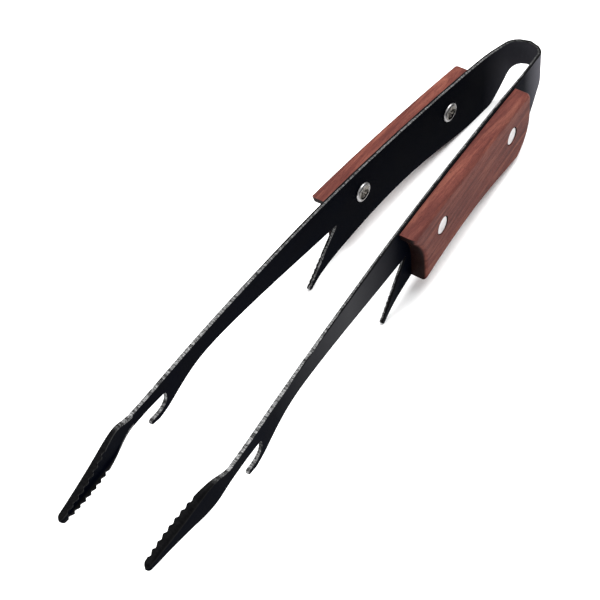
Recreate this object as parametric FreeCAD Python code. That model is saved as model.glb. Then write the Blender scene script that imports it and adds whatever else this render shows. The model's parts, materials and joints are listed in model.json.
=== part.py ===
"""Spring loaded kitchen tongs: a one-piece strip-steel spring with two wooden handle scales.

Millimetres.  +X runs from the bow of the spring to the jaw tips, +Y to the left arm and +Z up, along the
width of the strip.  The tongs stand on edge: the handle butts and the prong tips touch Z = 0, and the
origin is below the middle of the overall length.  Outlines are written in stations, the distance in X from
the back of the bow, and in heights over Z = 0.
"""
import FreeCAD, Part
import math
import os

from FreeCAD import Vector

# ---- driving dimensions ---------------------------------------------------------------------------
OVERALL_LENGTH = 394.6
STRIP_THICKNESS = 2.0
BOW_RADIUS = 10.2            # mid-surface radius of the U-bend
BOW_SPLIT_STATION = 12.0     # where the spring bow ends and each arm begins
BOW_TOP = 33.6
BOW_BOTTOM = 18.2

FLARE_HEADING = 7.5          # degrees outwards, just after the bow
HANDLE_HEADING = 3.8         # degrees outwards along the handle
NECK_HEADING = 2.3           # degrees outwards at the neck
JAW_HEADING = -4.0           # degrees: the jaws turn towards each other
NECK_STATION = 333.0
FLARE_LENGTH = 12.5          # straight stretch after the bow
FLARE_BEND_LENGTH = 12.0     # bend from the flare into the handle
ARM_LENGTH = 298.0           # slow curve from the handle to the neck
NECK_BEND_LENGTH = 16.0
JAW_RUN = 60.0               # straight stretch that carries the jaw, longer than the jaw itself

SCALE_THICKNESS = 9.0
SCALE_EDGE_RADIUS = 2.5
SCALE_TOP_STEP = 1.3         # how far the wood stays below the top edge of the steel

RIVET_PLACES = {"rear": (65.4, 26.3), "front": (146.0, 33.0)}   # station, height
RIVET_SHANK_RADIUS = 3.2
RIVET_HOLE_RADIUS = 3.25
RIVET_HEAD_RADIUS = 5.0
RIVET_HEAD_THICKNESS = 1.6
RIVET_HEAD_SUNK = 0.4
RIVET_BORE_RADIUS = 2.4
RIVET_BORE_DEPTH = 6.0
ROLLED_RIM_RADIUS = 5.6
ROLLED_RIM_HEIGHT = 1.3
ROLLED_RIM_CREST_RADIUS = 4.3
COUNTERBORE_RADIUS = 5.4
RIVET_CHAMFER = 0.25

TOOTH_COUNT = 9
TOOTH_PITCH = 4.25
TOOTH_DEPTH = 0.9
FIRST_TOOTH_STATION = 356.5
TOOTH_LEAN = 0.66            # share of the pitch from a tip to the valley after it
TOOTH_TIP_SHAVE = 0.05       # taken off the tips so that the cutter leaves no slivers
FLANGE_WALL = 1.7

SERRATION_COUNT = 6
SERRATION_PITCH = 3.0
SERRATION_RADIUS = 0.9
SERRATION_OFFSET = 0.35

# Side outline of the strip, as (station, height).
TOP_EDGE = [
    (-1.0, BOW_TOP), (6.0, 34.8), (16.0, 36.9), (30.0, 39.3), (65.0, 43.6), (105.0, 47.3), (146.0, 50.1),
    (190.0, 51.4), (230.0, 50.7), (270.0, 49.0), (303.0, 46.4), (322.0, 44.6), (NECK_STATION, 44.0),
]
HANDLE_LOWER_EDGE = [
    (165.0, 8.5), (145.0, 10.2), (122.0, 10.8), (96.0, 9.0), (70.0, 4.7), (50.0, 1.3), (34.0, 0.0),
    (24.5, 0.8), (18.0, 5.2), (12.5, 10.2), (6.0, 15.6), (-1.0, BOW_BOTTOM),
]
PRONG_LOWER_EDGE = [(193.2, 0.5), (186.0, 4.1), (177.0, 6.7), (165.0, 8.5)]
PRONG_TIP = [(195.2, 2.6), (194.8, 0.9), (193.2, 0.5)]
PRONG_INNER_EDGE = [(170.3, 26.9), (195.2, 2.6)]
PRONG_SLOT_ROOT = [(171.2, 28.2), (169.9, 27.8), (170.3, 26.9)]
ARM_LOWER_EDGE = [
    (315.5, 22.7), (309.0, 24.5), (301.5, 28.1), (293.5, 31.8), (285.0, 34.5), (274.0, 35.9),
    (258.0, 35.8), (238.0, 34.6), (211.0, 32.1), (190.0, 30.0), (171.2, 28.2),
]
HOOK_TIP = [(320.6, 26.6), (322.0, 25.0), (320.8, 23.4)]
HOOK_BELLY = [(320.8, 23.4), (315.5, 22.7)]
HOOK_INNER_EDGE = [(309.2, 34.2), (309.8, 30.0), (313.2, 27.2), (320.6, 26.6)]
HOOK_THROAT = [(311.4, 36.3), (309.8, 35.8), (309.2, 34.2)]
NECK_LOWER_EDGE = [(NECK_STATION, 35.9), (322.0, 36.5), (311.4, 36.3)]

# Side outline of a handle scale.
SCALE_REAR_STATION = 41.5
SCALE_TOP_CORNER = [(SCALE_REAR_STATION, 35.1), (43.0, 38.9), (46.6, 40.9)]
SCALE_LOWER_CORNER = [(63.0, 1.6), (46.6, 9.0), (SCALE_REAR_STATION, 21.0)]
SCALE_FRONT_FOOT = (164.0, 4.0)
SCALE_FRONT_SWEEP = [(164.2, 22.0), (167.6, 36.0), (174.5, 45.6)]
SCALE_FRONT_TOP = (176.9, 54.0)

# Jaw: station, top, bottom, depth from the back to the flange edges, radius of the back corners.
JAW_SECTIONS = [
    (330.0, 44.1, 36.0, 2.0, 0.3),
    (NECK_STATION, 44.0, 35.9, 2.0, 0.3),
    (338.0, 44.9, 34.9, 2.0, 0.4),
    (343.0, 46.9, 32.9, 2.2, 0.8),
    (348.0, 47.7, 31.2, 2.7, 1.3),
    (354.0, 47.2, 30.3, 3.4, 1.9),
    (362.0, 45.4, 30.7, 4.3, 2.4),
    (372.0, 42.9, 31.6, 4.7, 2.4),
    (382.0, 40.6, 32.3, 4.5, 2.1),
    (389.0, 39.1, 32.7, 3.9, 1.7),
    (OVERALL_LENGTH, 38.0, 33.2, 3.1, 1.4),
]
CAVITY_SECTIONS = JAW_SECTIONS[2:10]
CAVITY_END_RISE = (0.3, 0.8)     # how far the floor of the channel rises at its first and last section
CAVITY_CORNER = 0.5
CAVITY_LEAST_HALF_WIDTH = 1.0
JAW_TIP_ROUNDING = 2.2           # how far back from its end the jaw is rounded off
JAW_TIP_SPARE = 0.1              # how far the rounding starts outside the jaw, so that no slivers stay
JAW_TIP_TOP_SPARE = 0.3

HALF_LENGTH = OVERALL_LENGTH / 2
HALF_STRIP = STRIP_THICKNESS / 2
REACH = 80.0                 # half-width of every cutting prism, past both arms
CLEAR = 5.0                  # how far a cutter runs past what it cuts
WOOD_FACE = HALF_STRIP + SCALE_THICKNESS     # outer face of the wood, from the mid-surface of the strip


# ---- plan curve of one arm ------------------------------------------------------------------------
def plan_segments():
    """The strip's mid-surface in plan, as (start, heading, length, turn) pieces; angles in degrees."""
    bow_turn = FLARE_HEADING - 90
    pieces = [
        (BOW_RADIUS * math.radians(-bow_turn), bow_turn),
        (FLARE_LENGTH, 0.0),
        (FLARE_BEND_LENGTH, HANDLE_HEADING - FLARE_HEADING),
        (ARM_LENGTH, NECK_HEADING - HANDLE_HEADING),
        (NECK_BEND_LENGTH, JAW_HEADING - NECK_HEADING),
        (JAW_RUN, 0.0),
    ]
    point = Vector(HALF_STRIP, 0, 0)
    heading = 90.0
    segments = []
    for length, turn in pieces:
        segments.append((point, heading, length, turn))
        point = along(point, heading, length, turn)
        heading += turn
    return segments


def along(start, heading, length, turn):
    """The end of a plan piece: a chord at the mean heading, shortened where the piece is an arc."""
    mean = math.radians(heading + turn / 2)
    half = math.radians(turn) / 2
    chord = length if abs(half) < 1e-9 else length * math.sin(half) / half
    return start + Vector(math.cos(mean), math.sin(mean), 0) * chord


def beside(point, heading, offset):
    """The point that lies offset from the mid-surface, positive towards the outside of the tongs."""
    angle = math.radians(heading)
    return point + Vector(-math.sin(angle), math.cos(angle), 0) * offset


def plan_at(station):
    """Mid-surface Y and heading where the arm passes a station."""
    for start, heading, length, turn in plan_segments():
        end = along(start, heading, length, turn)
        if station <= end.x:
            share = (station - start.x) / (end.x - start.x)
            for _ in range(20):
                point = along(start, heading, length * share, turn * share)
                share += (station - point.x) / (end.x - start.x)
            return point.y, heading + turn * share
    raise ValueError(station)


def plan_edges(offset):
    """The mid-surface of one arm moved sideways by offset, as lines and arcs."""
    edges = []
    for start, heading, length, turn in plan_segments():
        middle = along(start, heading, length / 2, turn / 2)
        end = along(start, heading, length, turn)
        points = [
            beside(start, heading, offset),
            beside(middle, heading + turn / 2, offset),
            beside(end, heading + turn, offset),
        ]
        if turn:
            edges.append(Part.Arc(*points).toShape())
        else:
            edges.append(Part.LineSegment(points[0], points[2]).toShape())
    return edges


def plan_wall(inner, outer):
    """An upright wall that follows one arm in plan, between two offsets from its mid-surface."""
    inner_edges = plan_edges(inner)
    outer_edges = plan_edges(outer)
    caps = [
        Part.LineSegment(inner_edges[0].Vertexes[0].Point, outer_edges[0].Vertexes[0].Point).toShape(),
        Part.LineSegment(inner_edges[-1].Vertexes[-1].Point, outer_edges[-1].Vertexes[-1].Point).toShape(),
    ]
    outline = Part.Wire(Part.__sortEdges__(inner_edges + outer_edges + caps))
    return Part.Face(outline).extrude(Vector(0, 0, REACH))


# ---- side outlines --------------------------------------------------------------------------------
def side_point(pair):
    return Vector(pair[0], 0, pair[1])


def spline(pairs):
    curve = Part.BSplineCurve()
    curve.interpolate([side_point(pair) for pair in pairs])
    return curve.toShape()


def arc(pairs):
    return Part.Arc(*[side_point(pair) for pair in pairs]).toShape()


def line(first, last):
    return Part.LineSegment(side_point(first), side_point(last)).toShape()


def side_prism(edges):
    """A closed side outline, carried right across both arms."""
    outline = Part.Wire(Part.__sortEdges__(edges))
    prism = Part.Face(outline).extrude(Vector(0, 2 * REACH, 0))
    prism.translate(Vector(0, -REACH, 0))
    return prism


def slab(first_station, last_station):
    """Everything between two stations."""
    block = Part.makeBox(last_station - first_station, 2 * REACH, 2 * REACH)
    block.translate(Vector(first_station, -REACH, -REACH))
    return block


def strip_outline():
    return side_prism([
        spline(TOP_EDGE),
        line(TOP_EDGE[-1], NECK_LOWER_EDGE[0]),
        spline(NECK_LOWER_EDGE),
        arc(HOOK_THROAT),
        spline(HOOK_INNER_EDGE),
        arc(HOOK_TIP),
        line(*HOOK_BELLY),
        spline(ARM_LOWER_EDGE),
        arc(PRONG_SLOT_ROOT),
        line(*PRONG_INNER_EDGE),
        arc(PRONG_TIP),
        spline(PRONG_LOWER_EDGE),
        spline(HANDLE_LOWER_EDGE),
        line(HANDLE_LOWER_EDGE[-1], TOP_EDGE[0]),
    ])


def scale_outline():
    """The shaped ends of a scale; between them it follows the strip's own top and lower edges."""
    return side_prism([
        arc(SCALE_TOP_CORNER),
        line(SCALE_TOP_CORNER[-1], (SCALE_TOP_CORNER[-1][0], REACH)),
        line((SCALE_TOP_CORNER[-1][0], REACH), (SCALE_FRONT_TOP[0], REACH)),
        line((SCALE_FRONT_TOP[0], REACH), SCALE_FRONT_TOP),
        line(SCALE_FRONT_TOP, SCALE_FRONT_SWEEP[-1]),
        arc(SCALE_FRONT_SWEEP),
        line(SCALE_FRONT_SWEEP[0], SCALE_FRONT_FOOT),
        line(SCALE_FRONT_FOOT, (SCALE_FRONT_FOOT[0], -REACH)),
        line((SCALE_FRONT_FOOT[0], -REACH), (SCALE_LOWER_CORNER[0][0], -REACH)),
        line((SCALE_LOWER_CORNER[0][0], -REACH), SCALE_LOWER_CORNER[0]),
        arc(SCALE_LOWER_CORNER),
        line(SCALE_LOWER_CORNER[-1], SCALE_TOP_CORNER[0]),
    ])


# ---- jaw ------------------------------------------------------------------------------------------
def back_y(station):
    """The outer face of the strip at a station."""
    return plan_at(station)[0] + HALF_STRIP


def channel_section(station, top, bottom, back, front, corner):
    """A box section in a plane of constant X, with rounded corners at its back."""
    def at(y, z):
        return Vector(station, y, z)

    bulge = corner * (1 - math.sqrt(0.5))
    corners = [
        Part.LineSegment(at(front, bottom), at(front, top)).toShape(),
        Part.LineSegment(at(front, top), at(back - corner, top)).toShape(),
        Part.Arc(at(back - corner, top), at(back - bulge, top - bulge), at(back, top - corner)).toShape(),
        Part.LineSegment(at(back, top - corner), at(back, bottom + corner)).toShape(),
        Part.Arc(at(back, bottom + corner), at(back - bulge, bottom + bulge),
                 at(back - corner, bottom)).toShape(),
        Part.LineSegment(at(back - corner, bottom), at(front, bottom)).toShape(),
    ]
    return Part.Wire(corners)


def jaw_blank():
    """The outside of the jaw, as if it were solid."""
    sections = []
    for station, top, bottom, depth, corner in JAW_SECTIONS:
        back = back_y(station)
        sections.append(channel_section(station, top, bottom, back, back - depth, corner))
    return Part.makeLoft(sections, True, False)


def jaw_cavity():
    """The hollow of the channel, open towards the other jaw."""
    first_rise, last_rise = CAVITY_END_RISE
    rises = [first_rise] + [0.0] * (len(CAVITY_SECTIONS) - 2) + [last_rise]
    sections = []
    for (station, top, bottom, depth, _), rise in zip(CAVITY_SECTIONS, rises):
        back = back_y(station)
        middle = (top + bottom) / 2
        half = max((top - bottom) / 2 - FLANGE_WALL, CAVITY_LEAST_HALF_WIDTH)
        sections.append(channel_section(
            station, middle + half, middle - half, back - STRIP_THICKNESS - rise,
            back - depth - CLEAR, CAVITY_CORNER))
    return Part.makeLoft(sections, True, False)


def flange_edge_y(station):
    """Y of the flange edges at a station, read off the jaw sections."""
    for first, second in zip(JAW_SECTIONS, JAW_SECTIONS[1:]):
        if first[0] <= station <= second[0]:
            share = (station - first[0]) / (second[0] - first[0])
            return back_y(station) - first[3] - share * (second[3] - first[3])
    raise ValueError(station)


def tooth_cutter():
    """What the flange edges lose between the teeth, carried up through both flanges."""
    wave = [Vector(FIRST_TOOTH_STATION, flange_edge_y(FIRST_TOOTH_STATION) - TOOTH_TIP_SHAVE, 0)]
    for index in range(TOOTH_COUNT - 1):
        tip = FIRST_TOOTH_STATION + index * TOOTH_PITCH
        valley = tip + TOOTH_LEAN * TOOTH_PITCH
        following = tip + TOOTH_PITCH
        wave.append(Vector(valley, flange_edge_y(valley) + TOOTH_DEPTH, 0))
        wave.append(Vector(following, flange_edge_y(following) - TOOTH_TIP_SHAVE, 0))
    curve = Part.BSplineCurve()
    curve.interpolate(wave)
    inwards = Vector(0, -CLEAR, 0)
    outline = Part.Wire([
        curve.toShape(),
        Part.LineSegment(wave[-1], wave[-1] + inwards).toShape(),
        Part.LineSegment(wave[-1] + inwards, wave[0] + inwards).toShape(),
        Part.LineSegment(wave[0] + inwards, wave[0]).toShape(),
    ])
    return Part.Face(outline).extrude(Vector(0, 0, REACH))


def round_tip(jaw):
    """Round off the blunt end of the jaw, in side view and in plan."""
    start = OVERALL_LENGTH - JAW_TIP_ROUNDING
    foot = NECK_STATION - CLEAR
    last = JAW_SECTIONS[-1]
    top = last[1] + JAW_TIP_TOP_SPARE
    bottom = last[2] - JAW_TIP_SPARE
    side = side_prism([
        line((foot, REACH), (start, REACH)),
        line((start, REACH), (start, top)),
        arc([(start, top), (OVERALL_LENGTH, (top + bottom) / 2), (start, bottom)]),
        line((start, bottom), (start, -REACH)),
        line((start, -REACH), (foot, -REACH)),
        line((foot, -REACH), (foot, REACH)),
    ])
    back = back_y(start) + JAW_TIP_SPARE
    front = back_y(OVERALL_LENGTH) - last[3] - JAW_TIP_SPARE
    plan = Part.Wire([
        Part.LineSegment(Vector(foot, REACH, 0), Vector(start, REACH, 0)).toShape(),
        Part.LineSegment(Vector(start, REACH, 0), Vector(start, back, 0)).toShape(),
        Part.Arc(Vector(start, back, 0), Vector(OVERALL_LENGTH, (back + front) / 2, 0),
                 Vector(start, front, 0)).toShape(),
        Part.LineSegment(Vector(start, front, 0), Vector(start, 0, 0)).toShape(),
        Part.LineSegment(Vector(start, 0, 0), Vector(foot, 0, 0)).toShape(),
        Part.LineSegment(Vector(foot, 0, 0), Vector(foot, REACH, 0)).toShape(),
    ])
    return jaw.common([side]).common(Part.Face(plan).extrude(Vector(0, 0, REACH)))


# ---- solids of one arm (+Y side), in stations -----------------------------------------------------
def rivet_frame(station, height, offset):
    """Placement of a turned part whose axis, its own +Z, points straight out of the arm."""
    y, heading = plan_at(station)
    origin = beside(Vector(station, y, height), heading, offset)
    turn = FreeCAD.Rotation(Vector(0, 0, 1), heading).multiply(FreeCAD.Rotation(Vector(1, 0, 0), -90))
    return FreeCAD.Placement(origin, turn)


def rivet_holes(radius, first_offset, last_offset):
    holes = []
    for station, height in RIVET_PLACES.values():
        hole = Part.makeCylinder(radius, last_offset - first_offset)
        hole.Placement = rivet_frame(station, height, first_offset)
        holes.append(hole)
    return holes


def serrations():
    """Small notches along the inner edge of the prong."""
    root, tip = [side_point(pair) for pair in PRONG_INNER_EDGE]
    direction = (tip - root).normalize()
    outward = Vector(direction.z, 0, -direction.x) * -1
    notches = []
    for index in range(SERRATION_COUNT):
        centre = tip - direction * (SERRATION_PITCH * (index + 0.8)) + outward * SERRATION_OFFSET
        notches.append(Part.makeCylinder(
            SERRATION_RADIUS, 2 * REACH, centre - Vector(0, REACH, 0), Vector(0, 1, 0)))
    return notches


def half_strip():
    """One side of the strip from the middle of the bow to the neck, with its holes and prong."""
    wall = plan_wall(-HALF_STRIP, HALF_STRIP)
    strip = wall.common(strip_outline())
    return strip.cut(rivet_holes(RIVET_HOLE_RADIUS, -CLEAR, CLEAR) + serrations())


def arm():
    strip = half_strip().common(slab(BOW_SPLIT_STATION, NECK_STATION))
    jaw = round_tip(jaw_blank().cut(jaw_cavity()).cut(tooth_cutter()))
    jaw = jaw.common(slab(NECK_STATION - 0.5, OVERALL_LENGTH + 1))
    return strip.fuse(jaw).removeSplitter().Solids[0]


def bow():
    half = half_strip().common(slab(-1, BOW_SPLIT_STATION))
    return half.fuse(mirrored(half)).removeSplitter().Solids[0]


def scale():
    """Handle scale: flat against the arm, with a softly rounded outer edge."""
    wall = plan_wall(HALF_STRIP, WOOD_FACE)
    lowered_strip = strip_outline()
    lowered_strip.translate(Vector(0, 0, -SCALE_TOP_STEP))
    blank = wall.common(strip_outline()).common(lowered_strip).common(scale_outline()).Solids[0]
    broad_faces = sorted(blank.Faces, key=lambda face: face.Area)[-2:]
    outer_face = max(broad_faces, key=lambda face: face.CenterOfMass.y)
    blank = blank.makeFillet(SCALE_EDGE_RADIUS, outer_face.Edges)
    head_floor = WOOD_FACE - RIVET_HEAD_SUNK - RIVET_HEAD_THICKNESS
    holes = rivet_holes(RIVET_HOLE_RADIUS, -CLEAR, WOOD_FACE + CLEAR)
    counterbores = rivet_holes(COUNTERBORE_RADIUS, head_floor, WOOD_FACE + CLEAR)
    return blank.cut(holes + counterbores).Solids[0]


def rivet(station, height):
    """Semi-tubular rivet: a flat head sunk in the scale, a shank and a rim rolled over the steel."""
    head_top = WOOD_FACE - RIVET_HEAD_SUNK
    head_floor = head_top - RIVET_HEAD_THICKNESS
    steel = -HALF_STRIP
    crest = steel - ROLLED_RIM_HEIGHT
    chamfer = RIVET_CHAMFER

    def at(radius, offset):
        return Vector(radius, 0, offset)

    rim_middle = (ROLLED_RIM_CREST_RADIUS + ROLLED_RIM_RADIUS) / 2
    profile = Part.Wire([
        Part.LineSegment(at(0, head_top), at(RIVET_HEAD_RADIUS - chamfer, head_top)).toShape(),
        Part.LineSegment(at(RIVET_HEAD_RADIUS - chamfer, head_top),
                         at(RIVET_HEAD_RADIUS, head_top - chamfer)).toShape(),
        Part.LineSegment(at(RIVET_HEAD_RADIUS, head_top - chamfer),
                         at(RIVET_HEAD_RADIUS, head_floor)).toShape(),
        Part.LineSegment(at(RIVET_HEAD_RADIUS, head_floor), at(RIVET_SHANK_RADIUS, head_floor)).toShape(),
        Part.LineSegment(at(RIVET_SHANK_RADIUS, head_floor), at(RIVET_SHANK_RADIUS, steel)).toShape(),
        Part.LineSegment(at(RIVET_SHANK_RADIUS, steel), at(ROLLED_RIM_RADIUS, steel)).toShape(),
        Part.Arc(at(ROLLED_RIM_RADIUS, steel),
                 at(rim_middle + 0.35, crest + 0.3),
                 at(ROLLED_RIM_CREST_RADIUS, crest)).toShape(),
        Part.Arc(at(ROLLED_RIM_CREST_RADIUS, crest),
                 at(RIVET_BORE_RADIUS + 0.75, crest + 0.75),
                 at(RIVET_BORE_RADIUS, steel + 0.8)).toShape(),
        Part.LineSegment(at(RIVET_BORE_RADIUS, steel + 0.8),
                         at(RIVET_BORE_RADIUS, steel + RIVET_BORE_DEPTH)).toShape(),
        Part.LineSegment(at(RIVET_BORE_RADIUS, steel + RIVET_BORE_DEPTH),
                         at(0, steel + RIVET_BORE_DEPTH + 1.2)).toShape(),
        Part.LineSegment(at(0, steel + RIVET_BORE_DEPTH + 1.2), at(0, head_top)).toShape(),
    ])
    turned = Part.Face(profile).revolve(Vector(0, 0, 0), Vector(0, 0, 1), 360)
    turned = Part.Solid(turned) if turned.ShapeType != "Solid" else turned
    turned.Placement = rivet_frame(station, height, 0)
    return turned


# ---- assembly -------------------------------------------------------------------------------------
def mirrored(shape):
    """The same piece on the right-hand side."""
    return shape.mirror(Vector(0, 0, 0), Vector(0, 1, 0))


def build_nodes():
    nodes = {"spring_bow": bow()}
    left = {"arm": arm(), "handle_scale": scale()}
    for name, (station, height) in RIVET_PLACES.items():
        left[name + "_rivet"] = rivet(station, height)
    for name, shape in left.items():
        nodes["left_" + name] = shape
        nodes["right_" + name] = mirrored(shape)
    return nodes


def main():
    os.makedirs("parts", exist_ok=True)
    for name, shape in build_nodes().items():
        shape.translate(Vector(-HALF_LENGTH, 0, 0))
        if not shape.isValid():
            print("INVALID", name)
        shape.exportStep(os.path.join("parts", name + ".step"))
        box = shape.BoundBox
        print(f"{name}: solids {len(shape.Solids)}, volume {shape.Volume / 1000:.2f} cm3, "
              f"X {box.XMin:.1f}..{box.XMax:.1f} Y {box.YMin:.1f}..{box.YMax:.1f} "
              f"Z {box.ZMin:.1f}..{box.ZMax:.1f}")


main()
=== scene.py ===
"""Spring loaded kitchen tongs: the looks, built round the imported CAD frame.  Metres, in the frame's axes."""

import json
import math

import bpy
import numpy as np
from mathutils import Euler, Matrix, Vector
from mathutils.geometry import delaunay_2d_cdt


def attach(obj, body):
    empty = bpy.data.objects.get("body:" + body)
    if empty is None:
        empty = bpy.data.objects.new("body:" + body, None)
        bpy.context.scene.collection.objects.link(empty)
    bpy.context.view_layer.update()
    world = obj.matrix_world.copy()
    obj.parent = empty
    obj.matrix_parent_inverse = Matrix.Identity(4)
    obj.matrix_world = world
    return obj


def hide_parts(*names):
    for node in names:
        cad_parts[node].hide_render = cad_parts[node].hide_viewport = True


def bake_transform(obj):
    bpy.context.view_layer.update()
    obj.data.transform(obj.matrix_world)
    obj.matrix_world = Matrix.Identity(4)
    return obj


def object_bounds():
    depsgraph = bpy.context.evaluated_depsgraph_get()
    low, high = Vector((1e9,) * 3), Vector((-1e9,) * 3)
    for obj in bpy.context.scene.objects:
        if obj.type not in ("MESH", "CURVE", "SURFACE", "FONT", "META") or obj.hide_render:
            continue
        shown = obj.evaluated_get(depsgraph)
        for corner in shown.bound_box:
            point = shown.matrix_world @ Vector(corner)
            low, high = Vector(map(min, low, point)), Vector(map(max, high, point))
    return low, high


MM = 0.001

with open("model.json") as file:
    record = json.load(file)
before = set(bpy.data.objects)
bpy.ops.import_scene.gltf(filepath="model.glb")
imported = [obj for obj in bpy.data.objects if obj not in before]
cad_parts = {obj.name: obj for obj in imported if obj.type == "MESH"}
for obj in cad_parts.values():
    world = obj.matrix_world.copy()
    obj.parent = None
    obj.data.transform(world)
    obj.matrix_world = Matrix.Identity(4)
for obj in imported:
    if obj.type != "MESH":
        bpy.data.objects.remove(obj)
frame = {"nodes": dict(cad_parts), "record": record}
CAD_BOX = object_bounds()

# Where the steel's painted sheen and edge band change, in the frame's X
BOW_SHEEN_SPAN = (-0.165, -0.197)       # from plain black coating to the painted sheen round the bow
OUTER_SHEEN_SPAN = (-0.02, 0.03, 0.1)   # start, peak and end of the painted sheen along the outside of the arms
PAST_WOOD = (0.0, 0.085)          # edges bright over half, then over all of their width
BEFORE_JAW = (0.137, 0.15)        # from bright edges to dark ones


# ---- material graphs ------------------------------------------------------------------------------
class Graph:
    """A material and short ways to add nodes to it."""

    def __init__(self, name):
        self.material = bpy.data.materials.new(name)
        self.material.use_nodes = True
        self.tree = self.material.node_tree
        self.shader = self.tree.nodes["Principled BSDF"]
        self.place = self.add("ShaderNodeTexCoord").outputs["Object"]

    def add(self, kind, inputs=None, **settings):
        """A node with its settings, its inputs fed with values or other nodes' outputs."""
        node = self.tree.nodes.new(kind)
        for key, value in settings.items():
            setattr(node, key, value)
        for key, value in (inputs or {}).items():
            self.feed(node.inputs[key], value)
        return node

    def feed(self, socket, value):
        if isinstance(value, bpy.types.NodeSocket):
            self.tree.links.new(value, socket)
        else:
            socket.default_value = value

    def stretched(self, scale):
        """The object's own coordinates, scaled differently along each axis."""
        return self.add("ShaderNodeMapping", {"Vector": self.place, "Scale": scale}).outputs["Vector"]

    def axis(self, letter, output="Object"):
        """One component of the object's own coordinates or normal."""
        coordinates = self.add("ShaderNodeTexCoord").outputs[output]
        return self.add("ShaderNodeSeparateXYZ", {"Vector": coordinates}).outputs[letter]

    def noise(self, scale, stretch=(1, 1, 1), detail=3.0, roughness=0.5, distortion=0.0):
        node = self.add("ShaderNodeTexNoise", {
            "Vector": self.stretched(stretch), "Scale": scale, "Detail": detail,
            "Roughness": roughness, "Distortion": distortion})
        return node.outputs["Fac"]

    def ramp(self, value, *stops):
        """A colour ramp through (position, colour) stops; a number stands for a grey."""
        node = self.add("ShaderNodeValToRGB", {"Fac": value})
        elements = node.color_ramp.elements
        while len(elements) < len(stops):
            elements.new(0.5)
        for element, (position, colour) in zip(elements, stops):
            element.position = position
            element.color = (colour,) * 3 + (1,) if isinstance(colour, float) else (*colour, 1)
        return node.outputs["Color"]

    def remap(self, value, low, high, to_low, to_high):
        node = self.add("ShaderNodeMapRange", {
            "Value": value, "From Min": low, "From Max": high, "To Min": to_low, "To Max": to_high})
        return node.outputs["Result"]

    def maths(self, operation, *values):
        node = self.add("ShaderNodeMath", operation=operation)
        for socket, value in zip(node.inputs, values):
            self.feed(socket, value)
        return node.outputs["Value"]

    def mix(self, share, first, second):
        """Two colours mixed; their sockets go by number, since several sockets share a name."""
        node = self.add("ShaderNodeMix", data_type="RGBA")
        self.feed(node.inputs[0], share)
        self.feed(node.inputs[6], first)
        self.feed(node.inputs[7], second)
        return node.outputs[2]

    def bump(self, height, strength, distance):
        node = self.add("ShaderNodeBump", {
            "Height": height, "Strength": strength, "Distance": distance})
        return node.outputs["Normal"]

    def finish(self, **sockets):
        """The material, once the shader's own sockets are fed."""
        for key, value in sockets.items():
            self.feed(self.shader.inputs[key.replace("_", " ").title().replace("Ior", "IOR")], value)
        return self.material


def coated_steel():
    """Black heat-treated coating: faint mottling and grit, with a painted sheen, greyer round the bow and
    along the outside of the arms.

    The attribute "across" is 0 on the strip's inner face and 1 on its outer face.
    """
    g = Graph("coated_steel")
    mottle = g.noise(60, detail=5)
    grit = g.noise(2200, detail=2)
    across = g.add("ShaderNodeAttribute", attribute_name="across").outputs["Fac"]
    at_bow = g.remap(g.axis("X"), *BOW_SHEEN_SPAN, 0.0, 1.0)
    start, peak, end = OUTER_SHEEN_SPAN
    along = g.maths("MULTIPLY", g.remap(g.axis("X"), start, peak, 0.0, 1.0),
                    g.remap(g.axis("X"), peak, end, 1.0, 0.0))
    outer_sheen = g.maths("MULTIPLY", across, along)
    colour = g.ramp(mottle, (0.3, (0.0006, 0.0009, 0.0026)), (0.7, (0.0012, 0.0018, 0.0042)))
    # painted sheen along the outside of the arms: a grey reflection laid into the colour
    colour = g.mix(outer_sheen, colour, (0.032, 0.032, 0.035, 1))
    # painted sheen round the bow: a lighter grey laid into the colour, stronger on the outer face
    colour = g.mix(g.maths("MULTIPLY", at_bow, g.remap(across, 0.0, 1.0, 0.35, 1.0)), colour,
                   (0.105, 0.103, 0.12, 1))
    rough = g.maths("ADD", g.remap(mottle, 0.3, 0.7, 0.38, 0.48), g.remap(grit, 0.3, 0.7, -0.05, 0.07))
    return g.finish(base_color=colour, roughness=rough, specular_ior_level=0.003,
                    normal=g.bump(grit, 0.25, 0.00008))


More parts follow.
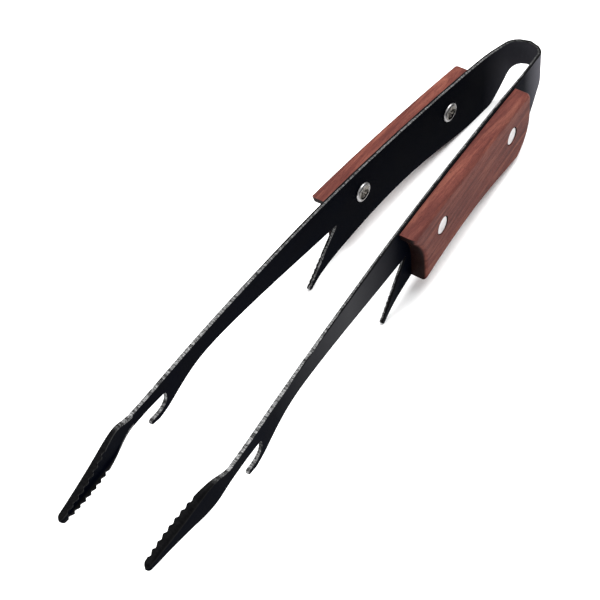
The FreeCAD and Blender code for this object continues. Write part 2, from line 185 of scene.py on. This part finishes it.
def cut_edge_steel():
    """The sheared edges: a bright band of cross-wise shear marks, partly bare steel where the coating is worn
    thin and partly a painted highlight.

    The band takes the whole edge along the bare arms, only its inner half beside the wood, the outer half
    there kept dark as painted shade, and fades out round the bow and before the jaws.  The attribute "across"
    is 0 at the inner corner and 1 at the outer.
    """
    g = Graph("cut_edge_steel")
    marks = g.noise(2600, stretch=(1.0, 0.3, 0.3), detail=2, roughness=0.6)
    ticks = g.noise(620, stretch=(1.0, 0.12, 0.3), detail=3, roughness=0.7)
    patches = g.noise(150, detail=4)
    place = g.axis("X")
    across = g.add("ShaderNodeAttribute", attribute_name="across").outputs["Fac"]
    past_wood = g.remap(place, *PAST_WOOD, 0.0, 1.0)
    limit = g.maths("ADD", 0.5, g.maths("MULTIPLY", past_wood, 0.5))
    wobble = g.remap(patches, 0.3, 0.7, -0.16, 0.16)
    inner = g.remap(g.maths("SUBTRACT", g.maths("ADD", limit, wobble), across), -0.05, 0.08, 0.0, 1.0)
    past_bow = g.remap(place, *BOW_SHEEN_SPAN, 1.0, 0.2)
    before_jaw = g.remap(place, *BEFORE_JAW, 1.0, 0.012)
    strength = g.maths("ADD", 0.55, g.maths("MULTIPLY", past_wood, 0.45))
    # the light band's share: partly bare steel, partly painted highlight; beside the wood the outer half stays
    # dark as painted shade
    bare_and_highlight = g.maths("MULTIPLY", g.remap(marks, 0.42, 0.6, 0.16, 1.0), inner)
    tick_depth = g.maths("MULTIPLY", g.remap(past_wood, 0.0, 1.0, 0.5, 0.78),
                         g.remap(ticks, 0.44, 0.52, 1.0, 0.0))
    bare_and_highlight = g.maths("MULTIPLY", bare_and_highlight, g.maths("SUBTRACT", 1.0, tick_depth))
    bare_and_highlight = g.maths("MULTIPLY", g.maths("MULTIPLY", bare_and_highlight, strength), g.maths("MULTIPLY", past_bow, before_jaw))
    # bright grey: partly bare steel, partly painted highlight
    colour = g.mix(bare_and_highlight, (0.0016, 0.0016, 0.002, 1), (0.3, 0.3, 0.3, 1))
    rough = g.remap(marks, 0.3, 0.7, 0.34, 0.55)
    return g.finish(base_color=colour, roughness=rough, specular_ior_level=0.02,
                    normal=g.bump(ticks, 0.4, 0.0001))


def handle_wood():
    """Oiled red-brown hardwood: growth bands, fibres and open pores along X, and end grain darkened to near
    black, partly its own darker tone and partly painted shade.
    """
    g = Graph("handle_wood")
    bands = g.noise(19, stretch=(0.7, 9.0, 9.0), detail=6, roughness=0.62, distortion=0.9)
    fibres = g.noise(110, stretch=(1.0, 24.0, 24.0), detail=4, roughness=0.65)
    pores = g.noise(420, stretch=(1.0, 14.0, 14.0), detail=1)
    heartwood = g.noise(26, stretch=(0.7, 1.6, 1.6), detail=2)
    colour = g.ramp(bands, (0.32, (0.066, 0.021, 0.0175)), (0.5, (0.122, 0.037, 0.0285)),
                    (0.68, (0.215, 0.076, 0.053)))
    colour = g.mix(g.remap(heartwood, 0.42, 0.66, 0.0, 0.42), colour, (0.055, 0.0185, 0.0175, 1))
    colour = g.mix(g.remap(fibres, 0.38, 0.72, 0.0, 0.5), colour, (0.04, 0.014, 0.014, 1))
    colour = g.mix(g.remap(pores, 0.62, 0.72, 0.0, 0.7), colour, (0.014, 0.005, 0.005, 1))
    # end faces, whose normal runs along X, go near black: partly the end grain's own darker tone, partly
    # painted shade
    end_grain_and_shade = g.maths("ABSOLUTE", g.axis("X", "Normal"))
    colour = g.mix(g.remap(end_grain_and_shade, 0.6, 0.9, 0.0, 0.95), colour, (0.004, 0.002, 0.002, 1))
    rough = g.remap(fibres, 0.3, 0.7, 0.48, 0.62)
    relief = g.maths("SUBTRACT", fibres, g.remap(pores, 0.62, 0.72, 0.0, 0.8))
    return g.finish(base_color=colour, roughness=rough, specular_ior_level=0.025,
                    normal=g.bump(relief, 0.35, 0.00015))


def rivet_steel():
    """Plated steel with a turned finish; a point attribute from add_clinch darkens the clinched ends: brownish
    blots over the petals, with painted shade in their creases and a near-black painted-shade slot.
    """
    g = Graph("rivet_steel")
    lines = g.noise(900, stretch=(1.0, 1.0, 14.0), detail=3)
    smudge = g.noise(240, detail=3)
    blots = g.noise(900, detail=4, roughness=0.65)
    grime_and_shade = g.add("ShaderNodeAttribute", attribute_name="grime_and_shade").outputs["Fac"]
    colour = g.ramp(smudge, (0.3, (0.35, 0.34, 0.34)), (0.7, (0.46, 0.452, 0.455)))
    dirt_and_shade = g.ramp(blots, (0.35, (0.06, 0.052, 0.045)), (0.65, (0.4, 0.37, 0.33)))
    # brownish blots over the clinched petals
    colour = g.mix(g.remap(grime_and_shade, 0.0, 0.6, 0.0, 1.0), colour, dirt_and_shade)
    # painted shade: the slot and the deepest creases go near black
    colour = g.mix(g.remap(grime_and_shade, 0.7, 0.9, 0.0, 1.0), colour, (0.003, 0.003, 0.004, 1))
    rough = g.maths("ADD", g.remap(lines, 0.3, 0.7, 0.26, 0.42), g.maths("MULTIPLY", grime_and_shade, 0.2))
    return g.finish(base_color=colour, roughness=rough, metallic=1.0,
                    normal=g.bump(lines, 0.2, 0.00005))


def floor_material():
    """Matt, almost white, and very slightly uneven."""
    g = Graph("floor")
    grain = g.noise(8, detail=3)
    colour = g.ramp(grain, (0.3, 0.93), (0.7, 0.95))
    return g.finish(base_color=colour, roughness=0.9)


MATERIALS = {
    "coated_steel": coated_steel(),
    "handle_wood": handle_wood(),
    "rivet_steel": rivet_steel(),
}
CUT_EDGE = cut_edge_steel()

# ---- the strip's shape, in millimetres: the same stations and heights as the CAD ------------------
HALF_LENGTH = CAD_BOX[1].x / MM
BOW_RADIUS = 10.2
CROWN_STATION = 1.0          # the strip's mid-surface at the middle of the bow
NECK_STATION = 333.0
HALF_STRIP = 1.0
EDGE_BREAK = 0.3             # the sheared edges are slightly rounded

# (length, turn in degrees) of each piece of the mid-surface in plan, from the crown of the bow
PLAN_PIECES = [
    (BOW_RADIUS * math.radians(82.5), -82.5), (12.5, 0.0), (12.0, -3.7), (298.0, -1.5), (16.0, -6.3),
    (60.0, 0.0),
]
TOP_EDGE = [
    (-1.0, 33.6), (6.0, 34.8), (16.0, 36.9), (30.0, 39.3), (65.0, 43.6), (105.0, 47.3), (146.0, 50.1),
    (190.0, 51.4), (230.0, 50.7), (270.0, 49.0), (303.0, 46.4), (322.0, 44.6), (NECK_STATION, 44.0),
]
NECK_LOWER_EDGE = [(NECK_STATION, 35.9), (322.0, 36.5), (311.4, 36.3)]
HOOK_THROAT = [(311.4, 36.3), (309.8, 35.8), (309.2, 34.2)]
HOOK_INNER_EDGE = [(309.2, 34.2), (309.8, 30.0), (313.2, 27.2), (320.6, 26.6)]
HOOK_TIP = [(320.6, 26.6), (322.0, 25.0), (320.8, 23.4)]
HOOK_BELLY = [(320.8, 23.4), (315.5, 22.7)]
ARM_LOWER_EDGE = [
    (315.5, 22.7), (309.0, 24.5), (301.5, 28.1), (293.5, 31.8), (285.0, 34.5), (274.0, 35.9),
    (258.0, 35.8), (238.0, 34.6), (211.0, 32.1), (190.0, 30.0), (171.2, 28.2),
]
PRONG_SLOT_ROOT = [(171.2, 28.2), (169.9, 27.8), (170.3, 26.9)]
PRONG_INNER_EDGE = [(170.3, 26.9), (195.2, 2.6)]
PRONG_TIP = [(195.2, 2.6), (194.8, 0.9), (193.2, 0.5)]
PRONG_LOWER_EDGE = [(193.2, 0.5), (186.0, 4.1), (177.0, 6.7), (165.0, 8.5)]
HANDLE_LOWER_EDGE = [
    (165.0, 8.5), (145.0, 10.2), (122.0, 10.8), (96.0, 9.0), (70.0, 4.7), (50.0, 1.3), (34.0, 0.0),
    (24.5, 0.8), (18.0, 5.2), (12.5, 10.2), (6.0, 15.6), (-1.0, 18.2),
]
SERRATIONS = 6
SERRATION_PITCH = 3.0
SERRATION_START = 0.8        # first notch's distance from the prong's tip, in pitches
SERRATION_RADIUS = 0.9
SERRATION_OFFSET = 0.35
RIVET_HOLES = {"rear": (65.4, 26.3), "front": (146.0, 33.0)}
HOLE_RADIUS = 3.3

# Jaw: station, top, bottom, depth from the back to the flange edges, radius of the back corners
JAW_SECTIONS = [
    (330.0, 44.1, 36.0, 2.0, 0.3), (NECK_STATION, 44.0, 35.9, 2.0, 0.3), (338.0, 44.9, 34.9, 2.0, 0.4),
    (343.0, 46.9, 32.9, 2.2, 0.8), (348.0, 47.7, 31.2, 2.7, 1.3), (354.0, 47.2, 30.3, 3.4, 1.9),
    (362.0, 45.4, 30.7, 4.3, 2.4), (372.0, 42.9, 31.6, 4.7, 2.4), (382.0, 40.6, 32.3, 4.5, 2.1),
    (389.0, 39.1, 32.7, 3.9, 1.7), (2 * HALF_LENGTH, 38.0, 33.2, 3.1, 1.4),
]
FLANGE_WALL = 1.7
TROUGH_LEAST_HALF = 0.9      # the trough stays at least this wide on each side of its middle
TROUGH_FULL_DEPTH = 1.2      # a shallower trough has smaller roundings
TROUGH_FILLET = 0.8
TROUGH_FADE = (384.0, 390.5)
TIP_ROUNDING = 2.2
TIP_LEAST_SCALE = 0.02       # the last section, in place of a point
TEETH = 9
TOOTH_PITCH = 4.25
TOOTH_DEPTH = 0.9
FIRST_TOOTH = 356.5
TOOTH_LEAN = 0.66
EDGE_RING = 12               # section points from the back's corner round to the inside of a flange

# The visual mesh: its inner points stand in columns, closer together round the bow, and rows
BOW_COLUMNS = (0.8, 30.0, 0.8)
ARM_COLUMNS = (32.0, 4.0)    # the first column and the spacing
ROWS = (1.5, 51.0, 3.5)
HOLE_CORNERS = 32
JAW_SPACING = 0.25
LEAST_GAP = 0.05             # closer points of a chain are left out
INSIDE_ONLY = 1              # delaunay_2d_cdt: triangles inside the outline only
TOUCHING = 1e-5              # delaunay_2d_cdt: points this close are one

# The mid-surface in plan as a table, one row every PLAN_STEP along the strip from the crown
PLAN_STEP = 0.05
PLAN_END = 400               # within a fraction of a millimetre of the jaw's tip
RUNS = np.arange(0, PLAN_END, PLAN_STEP)
HEADINGS = np.radians(np.interp(RUNS, np.cumsum([0] + [length for length, _ in PLAN_PIECES]),
                                np.cumsum([90] + [turn for _, turn in PLAN_PIECES])))


def summed(rates):
    """Running total of a rate along RUNS."""
    return np.concatenate([[0], np.cumsum((rates[1:] + rates[:-1]) / 2 * PLAN_STEP)])


STATIONS = CROWN_STATION + summed(np.cos(HEADINGS))
WAYS_OUT = summed(np.sin(HEADINGS))


def run_at(station):
    """Distance along the strip from the crown to a station."""
    return np.interp(station, STATIONS, RUNS)


def strip_place(run, height, offset):
    """A point of the left side: run along the strip, height, and offset outwards from the mid-surface."""
    heading = np.interp(run, RUNS, HEADINGS)
    x = np.interp(run, RUNS, STATIONS) - math.sin(heading) * offset
    y = np.interp(run, RUNS, WAYS_OUT) + math.cos(heading) * offset
    return (x - HALF_LENGTH, y, height)


def spline(points, spacing=1.0):
    """A natural cubic spline through points, sampled about every spacing."""
    points = np.array(points, float)
    chords = np.linalg.norm(np.diff(points, axis=0), axis=1)
    count = len(points)
    system = np.eye(count)
    load = np.zeros((count, points.shape[1]))
    for i in range(1, count - 1):
        system[i, i - 1:i + 2] = chords[i - 1], 2 * (chords[i - 1] + chords[i]), chords[i]
        load[i] = 6 * ((points[i + 1] - points[i]) / chords[i] - (points[i] - points[i - 1]) / chords[i - 1])
    bends = np.linalg.solve(system, load)
    samples = []
    for i in range(count - 1):
        steps = max(1, round(chords[i] / spacing))
        for share in np.arange(steps) / steps:
            rest = 1 - share
            cubic = (rest ** 3 - rest) * bends[i] + (share ** 3 - share) * bends[i + 1]
            samples.append(rest * points[i] + share * points[i + 1] + chords[i] ** 2 / 6 * cubic)
    return samples + [points[-1]]


def arc(points, steps=6):
    """Points on the circle through three points, from the first to the last."""
    (ax, ay), (bx, by), (cx, cy) = points
    double_area = 2 * (ax * (by - cy) + bx * (cy - ay) + cx * (ay - by))
    squares = ax * ax + ay * ay, bx * bx + by * by, cx * cx + cy * cy
    ox = (squares[0] * (by - cy) + squares[1] * (cy - ay) + squares[2] * (ay - by)) / double_area
    oy = (squares[0] * (cx - bx) + squares[1] * (ax - cx) + squares[2] * (bx - ax)) / double_area
    radius = math.hypot(ax - ox, ay - oy)
    angles = np.unwrap([math.atan2(y - oy, x - ox) for x, y in points])
    return [np.array([ox + radius * math.cos(angle), oy + radius * math.sin(angle)])
            for angle in np.linspace(angles[0], angles[2], steps + 1)]


def serrated(first, last, spacing=0.3):
    """The prong's inner edge, with its small round notches."""
    first, last = np.array(first), np.array(last)
    length = np.linalg.norm(last - first)
    along = (last - first) / length
    inwards = np.array([along[1], -along[0]])
    centres = [length - SERRATION_PITCH * (index + SERRATION_START) for index in range(SERRATIONS)]
    samples = []
    for distance in np.linspace(0, length, round(length / spacing)):
        nearest = min(abs(distance - centre) for centre in centres)
        depth = math.sqrt(max(0, SERRATION_RADIUS ** 2 - nearest ** 2)) - SERRATION_OFFSET
        samples.append(first + along * distance + inwards * max(0, depth))
    return samples


def chain(*curves):
    """Curves end to end as (run, height) points, without the part beyond the crown."""
    points = []
    for curve in curves:
        for station, height in curve:
            place = (float(run_at(station)), max(0.0, float(height)))
            if station < CROWN_STATION or (points and math.dist(points[-1], place) < LEAST_GAP):
                continue
            points.append(place)
    return points


def to_crown(points):
    """The same chain with its crown end exactly on the middle of the bow."""
    return [(0.0, points[0][1])] + points if points[0][0] < points[-1][0] else points + [(0.0, points[-1][1])]


def inset(points, distance):
    """A chain moved to its right-hand side, its ends moving straight up or down."""
    moved = []
    for i, (run, height) in enumerate(points):
        before, after = points[max(i - 1, 0)], points[min(i + 1, len(points) - 1)]
        along = Vector((after[0] - before[0], after[1] - before[1])).normalized()
        if i in (0, len(points) - 1):
            along = Vector((math.copysign(1, along.x), 0))
        moved.append((run + along.y * distance, height - along.x * distance))
    return moved


class Shell:
    """Vertices with their normals, and faces with their material, of one side of the strip."""

    def __init__(self):
        self.places = []
        self.normals = []
        self.across = []
        self.faces = []
        self.edge_faces = set()

    def add(self, place, normal, across=0.5):
        """A vertex; across is its place on the sheared edge, 0 at the inner corner and 1 at the outer."""
        self.places.append(place)
        self.normals.append(normal)
        self.across.append(across)
        return len(self.places) - 1

    def face(self, corners, is_edge=False):
        """A face; those of a sheared edge have the edge material, bare steel with a painted highlight."""
        if is_edge:
            self.edge_faces.add(len(self.faces))
        self.faces.append(corners)

    def build(self, name, sign):
        """The mesh object; sign -1 mirrors the left side to make the right one."""
        order = 1 if sign > 0 else -1
        data = bpy.data.meshes.new(name)
        data.from_pydata([(x * MM, sign * y * MM, z * MM) for x, y, z in self.places], [],
                         [face[::order] for face in self.faces])
        data.materials.append(MATERIALS["coated_steel"])
        data.materials.append(CUT_EDGE)
        data.attributes.new("across", "FLOAT", "POINT").data.foreach_set("value", self.across)
        for index, face in enumerate(data.polygons):
            face.use_smooth = True
            face.material_index = int(index in self.edge_faces)
        data.normals_split_custom_set_from_vertices([(x, sign * y, z) for x, y, z in self.normals])
        piece = bpy.data.objects.new(name, data)
        bpy.context.scene.collection.objects.link(piece)
        return piece


def strip_normal(run, in_plane, outwards):
    """Normal with a part in the strip's own plane, (along, up), and a part straight outwards."""
    heading = np.interp(run, RUNS, HEADINGS)
    along, up = in_plane
    normal = Vector((math.cos(heading) * along - math.sin(heading) * outwards,
                     math.sin(heading) * along + math.cos(heading) * outwards, up))
    return normal.normalized()


def add_strip(shell):
    """The flat part of the strip from the crown of the bow to the neck, with hook and prong."""
    top = to_crown(chain(spline(TOP_EDGE, 2.0)))
    bottom = to_crown(chain(
        spline(NECK_LOWER_EDGE), arc(HOOK_THROAT), spline(HOOK_INNER_EDGE, 0.6), arc(HOOK_TIP),
        HOOK_BELLY, spline(ARM_LOWER_EDGE), arc(PRONG_SLOT_ROOT), serrated(*PRONG_INNER_EDGE),
        arc(PRONG_TIP, 4), spline(PRONG_LOWER_EDGE), spline(HANDLE_LOWER_EDGE)))
    inner_top, inner_bottom = inset(top, EDGE_BREAK), inset(bottom, EDGE_BREAK)
    outline = inner_top + inner_bottom
    count = len(outline)
    points = [Vector(point) for point in outline]
    edges = [(i, (i + 1) % count) for i in range(count)]
    holes = [(float(run_at(station)), height) for station, height in RIVET_HOLES.values()]
    for run, height in holes:
        first = len(points)
        for turn in np.linspace(0, 2 * math.pi, HOLE_CORNERS, endpoint=False):
            points.append(Vector((run + HOLE_RADIUS * math.cos(turn), height + HOLE_RADIUS * math.sin(turn))))
        edges += [(first + i, first + (i + 1) % HOLE_CORNERS) for i in range(HOLE_CORNERS)]
    first_column, spacing = ARM_COLUMNS
    last_column = run_at(NECK_STATION) - 1
    columns = np.concatenate([np.arange(*BOW_COLUMNS), np.arange(first_column, last_column, spacing)])
    points += [Vector((run, height)) for run in columns for height in np.arange(*ROWS)]
    outline_face = list(range(count))[::-1]
    flat, _, triangles, *_ = delaunay_2d_cdt(points, edges, [outline_face], INSIDE_ONLY, TOUCHING)
    triangles = [triangle for triangle in triangles if inside_strip(triangle, flat, holes)]

    for side in (-1, 1):
        across = (side + 1) / 2
        index = [shell.add(strip_place(run, height, side * HALF_STRIP),
                           strip_normal(run, (0, 0), side), across) for run, height in flat]
        for triangle in triangles:
            shell.face([index[corner] for corner in triangle[::-side]])
    for edge in (top, bottom):
        add_rim(shell, edge)


def inside_strip(triangle, flat, holes):
    """Whether a triangle of the plate lies outside the rivet holes."""
    middle = sum((flat[corner] for corner in triangle), Vector((0, 0))) / 3
    return all(math.dist(middle, hole) > HOLE_RADIUS for hole in holes)


def add_rim(shell, edge):
    """The sheared edge along one chain: two small roundings and the flat between them."""
    directions = [Vector(a) - Vector(b) for a, b in zip(edge, inset(edge, 1.0))]
    rings = []
    for angle in (-90, -60, -30, 0, 0, 30, 60, 90):
        side = -1 if len(rings) < 4 else 1
        sine, cosine = math.sin(math.radians(angle)), math.cos(math.radians(angle))
        ring = []
        for (run, height), out in zip(edge, directions):
            out = out.normalized()
            back = EDGE_BREAK * (1 - cosine)
            offset = side * (HALF_STRIP - EDGE_BREAK) + EDGE_BREAK * sine
            place = strip_place(run - out.x * back, height - out.y * back, offset)
            across = (offset + HALF_STRIP) / (2 * HALF_STRIP)
            ring.append(shell.add(place, strip_normal(run, out * cosine, sine), across))
        rings.append(ring)
    for first, second in zip(rings, rings[1:]):
        for i in range(len(edge) - 1):
            shell.face([first[i], first[i + 1], second[i + 1], second[i]], is_edge=True)


def tooth_notch(station):
    """How far the flange edge is cut back between the teeth."""
    place = (station - FIRST_TOOTH) / TOOTH_PITCH
    if not 0 < place < TEETH - 1:
        return 0.0
    share = place % 1
    rise = share / TOOTH_LEAN if share < TOOTH_LEAN else (1 - share) / (1 - TOOTH_LEAN)
    return TOOTH_DEPTH * (0.5 - 0.5 * math.cos(math.pi * rise))


def jaw_ring(station, top, bottom, depth, corner):
    """One section of the channel as (depth from the back, height) points, open side last."""
    depth -= tooth_notch(station)
    fade = np.clip((station - TROUGH_FADE[0]) / (TROUGH_FADE[1] - TROUGH_FADE[0]), 0, 1)
    fade = fade * fade * (3 - 2 * fade)
    floor = min(2 * HALF_STRIP, depth) * (1 - fade) + depth * fade
    share = np.clip((depth - floor) / TROUGH_FULL_DEPTH, 0, 1)
    fillet = TROUGH_FILLET * share
    edge = EDGE_BREAK * share
    half = (top - bottom) / 2
    wall = min(FLANGE_WALL, half - TROUGH_LEAST_HALF)
    upper = []
    for angle in np.radians([0, 22.5, 45, 67.5, 90]):
        upper.append((corner * (1 - math.cos(angle)), half - corner * (1 - math.sin(angle))))
    for angle in np.radians([90, 60, 30, 0]):
        upper.append((depth - EDGE_BREAK * (1 - math.cos(angle)), half - EDGE_BREAK * (1 - math.sin(angle))))
    for angle in np.radians([0, 45, 90]):
        upper.append((depth - edge * (1 - math.cos(angle)), half - wall + edge * (1 - math.sin(angle))))
    for angle in np.radians([90, 45, 0]):
        upper.append((floor + fillet * (1 - math.cos(angle)), half - wall - fillet * (1 - math.sin(angle))))
    lower = [(q, -z) for q, z in upper[::-1]]
    return [(q, (top + bottom) / 2 + z) for q, z in upper + lower]


def add_jaw(shell):
    """The toothed channel, from the neck to its blunt tip."""
    sections = np.array(spline(JAW_SECTIONS, 0.5))
    tip = JAW_SECTIONS[-1][0]
    stations = np.concatenate([np.arange(NECK_STATION, tip - TIP_ROUNDING, JAW_SPACING),
                               tip - TIP_ROUNDING * (1 - np.sin(np.radians(np.arange(0, 91, 10))))])
    grid = []
    for station in stations:
        top, bottom, depth, corner = [np.interp(station, sections[:, 0], column)
                                      for column in sections[:, 1:].T]
        back = np.interp(station, STATIONS, WAYS_OUT) + HALF_STRIP
        ring = np.array(jaw_ring(station, top, bottom, depth, corner))
        past = max(0.0, (station - tip) / TIP_ROUNDING + 1)
        middle = np.array([depth / 2, (top + bottom) / 2])
        ring = middle + (ring - middle) * max(math.sqrt(max(0.0, 1 - past ** 2)), TIP_LEAST_SCALE)
        grid.append([(station - HALF_LENGTH, back - q, z) for q, z in ring])
    grid = np.array(grid)
    around = np.roll(grid, -1, axis=1) - np.roll(grid, 1, axis=1)
    forward = np.gradient(grid, axis=0)
    normals = np.cross(forward, around)
    lengths = np.linalg.norm(normals, axis=2, keepdims=True)
    normals = normals / np.maximum(lengths, 1e-9)
    centre = grid.mean(axis=1, keepdims=True)
    outward = np.sign((normals[:, 2] * (grid - centre)[:, 2]).sum())
    index = [[shell.add(tuple(place), tuple(normal * outward)) for place, normal in zip(row, row_normals)]
             for row, row_normals in zip(grid, normals)]
    for first, second in zip(index, index[1:]):
        for j in range(len(first)):
            k = (j + 1) % len(first)
            is_edge = min(j, len(first) - 2 - j) % len(first) < EDGE_RING
            shell.face([first[j], second[j], second[k], first[k]][::int(outward)], is_edge)


def strip_side(name, sign):
    """Half of the sprung strip: its side of the bow, its arm and its jaw."""
    shell = Shell()
    add_strip(shell)
    add_jaw(shell)
    strip = shell.build(name + "_strip", sign)
    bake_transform(strip)
    return strip


left_strip = strip_side("left", 1)
right_strip = strip_side("right", -1)
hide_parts("spring_bow", "left_arm")
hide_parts("right_arm")

# ---- clinched ends of the rivets ------------------------------------------------------------------
CLINCH_RADIUS = 4.7          # the petals meet the rolled rim just outside its crest
CLINCH_PROFILE = [(0.0, 0.2), (1.2, 0.3), (2.2, 0.45), (3.3, 0.85), (4.3, 1.34), (CLINCH_RADIUS, 1.32)]
CLINCH_RINGS = 17
CLINCH_CORNERS = 60
CLINCH_PETALS = 5
CLINCH_FOLD = 0.45           # height of the folds between the petals
CLINCH_GAP = (3.2, 4.1)      # radii of the slot that one folded petal leaves open, painted near black as shade
CLINCH_GAP_COSINE = 0.62     # of half the angle that the slot spans
CLINCH_GAP_TURN = 0.2        # where the slot's middle is, in radians from the star's own direction


def clinch_point(radius, turn, phase):
    """Height over the steel, and darkening, of the folded tube end at a radius and angle: brownish blots, with
    painted shade in the creases and the slot.

    CLINCH_PROFILE gives the height at a few radii, before the folds.
    """
    radii, heights = zip(*CLINCH_PROFILE)
    window = math.sin(math.pi * min(1.0, radius / CLINCH_RADIUS)) ** 0.7 if radius < CLINCH_RADIUS else 0.0
    folds = abs(math.sin(CLINCH_PETALS * (turn - phase) / 2 + 0.5 * math.sin(2 * turn + phase)))
    faces_gap = math.cos(turn - phase - CLINCH_GAP_TURN) > CLINCH_GAP_COSINE
    in_slot = faces_gap and CLINCH_GAP[0] < radius < CLINCH_GAP[1]
    lift = 0.1 if in_slot else CLINCH_FOLD * window * (folds - 0.3)
    height = np.interp(radius, radii, heights) + lift
    # creases between the petals: painted shade
    crease = 1 - min(1.0, folds / 0.3)
    # darkening: full painted shade in the slot; elsewhere brownish blots over the petals plus painted shade in
    # the creases
    grime_and_shade = 1.0 if in_slot else 0.62 * min(1.0, window * 1.6) + 0.2 * crease * window
    return height, grime_and_shade


def add_clinch(name, station, height, sign, phase):
    """The star of petals that the riveting punch folds into the open end of a rivet."""
    run = float(run_at(station))
    heading = np.interp(run, RUNS, HEADINGS)
    foot = np.array(strip_place(run, height, -HALF_STRIP))
    inwards = np.array([math.sin(heading), -math.cos(heading), 0.0])
    forwards = np.array([math.cos(heading), math.sin(heading), 0.0])
    turns = np.linspace(0, 2 * math.pi, CLINCH_CORNERS, endpoint=False)
    radii = np.linspace(0.0, CLINCH_RADIUS, CLINCH_RINGS + 1)[1:]
    centre_lift, centre_grime_and_shade = clinch_point(0.0, 0.0, phase)
    places, grime_and_shade = [foot + inwards * centre_lift], [centre_grime_and_shade]
    for radius in radii:
        for turn in turns:
            lift, dirt_and_shade = clinch_point(radius, turn, phase)
            sideways = forwards * math.cos(turn) + np.array([0.0, 0.0, 1.0]) * math.sin(turn)
            places.append(foot + sideways * radius + inwards * lift)
            grime_and_shade.append(dirt_and_shade)
    count = len(turns)
    faces = [(0, 1 + i, 1 + (i + 1) % count) for i in range(count)]
    for ring in range(len(radii) - 1):
        first = 1 + ring * count
        for i in range(count):
            k = (i + 1) % count
            faces.append((first + i, first + count + i, first + count + k, first + k))
    mesh = bpy.data.meshes.new(name)
    mesh.from_pydata([(x * MM, sign * y * MM, z * MM) for x, y, z in places], [],
                     [face[::sign] for face in faces])
    mesh.shade_smooth()
    mesh.attributes.new("grime_and_shade", "FLOAT", "POINT").data.foreach_set("value", grime_and_shade)
    mesh.materials.append(MATERIALS["rivet_steel"])
    piece = bpy.data.objects.new(name, mesh)
    bpy.context.scene.collection.objects.link(piece)
    return piece


# How far each star is turned, in radians: no two rivets are folded alike
PHASES = {("left", "rear"): 0.4, ("left", "front"): 1.7, ("right", "rear"): -2.1, ("right", "front"): -1.9}
for (side, end), phase in PHASES.items():
    station, height = RIVET_HOLES[end]
    clinch = add_clinch(f"{side}_{end}_clinch", station, height, 1 if side == "left" else -1, phase)
    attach(clinch, side + "_side")

# Every CAD piece gets its slot's material; the wooden scales and the rivets are those that stay visible
for part in frame["record"]["subparts"]:
    for slot in frame["nodes"][part["node"]].material_slots:
        slot.link = "OBJECT"
        slot.material = MATERIALS[part["material_slot"]]


# ---- stage, in metres and watts -------------------------------------------------------------------
FLOOR_REACH = 3.0
WORLD_STRENGTH = 0.65
# Discs of light aimed at the frame's origin: (place, diameter, power)
LIGHTS = {"key": ((-0.5, 0.1, 1.2), 1.2, 27), "fill": ((0.6, -0.5, 1.0), 1.4, 11)}
CAMERA_PLACE = (0.5216, 0.3724, 0.7481)
CAMERA_ANGLES = (40.89, 3.28, 123.66)   # degrees about X, Y and Z
CAMERA_LENS = 113.9                     # in millimetres, like the width of the sensor
CAMERA_SENSOR = 36


def add_floor():
    """A white floor at Z = 0, far wider than the view."""
    mesh = bpy.data.meshes.new("floor")
    corners = [(x * FLOOR_REACH, y * FLOOR_REACH, 0) for x, y in ((-1, -1), (1, -1), (1, 1), (-1, 1))]
    mesh.from_pydata(corners, [], [(0, 1, 2, 3)])
    floor = bpy.data.objects.new("floor", mesh)
    bpy.context.scene.collection.objects.link(floor)
    mesh.materials.append(floor_material())


def add_light(name, place, size, power):
    light = bpy.data.lights.new(name, "AREA")
    light.shape = "DISK"
    light.size = size
    light.energy = power
    lamp = bpy.data.objects.new(name, light)
    bpy.context.scene.collection.objects.link(lamp)
    lamp.location = place
    lamp.rotation_euler = (-Vector(place)).to_track_quat("-Z", "Y").to_euler()


def add_camera():
    """The photo's view: from the tips' end and the left, well above the tongs."""
    camera_data = bpy.data.cameras.new("camera")
    camera_data.lens = CAMERA_LENS
    camera_data.sensor_width = CAMERA_SENSOR
    camera = bpy.data.objects.new("camera", camera_data)
    bpy.context.scene.collection.objects.link(camera)
    camera.location = CAMERA_PLACE
    camera.rotation_euler = Euler([math.radians(angle) for angle in CAMERA_ANGLES])
    bpy.context.scene.camera = camera


def add_world():
    """Even white light from all round."""
    world = bpy.data.worlds.new("studio")
    world.use_nodes = True
    background = world.node_tree.nodes["Background"]
    background.inputs["Color"].default_value = (1, 1, 1, 1)
    background.inputs["Strength"].default_value = WORLD_STRENGTH
    bpy.context.scene.world = world
    bpy.context.scene.view_settings.view_transform = "Standard"


add_floor()
add_world()
for name, (place, size, power) in LIGHTS.items():
    add_light(name, place, size, power)
add_camera()
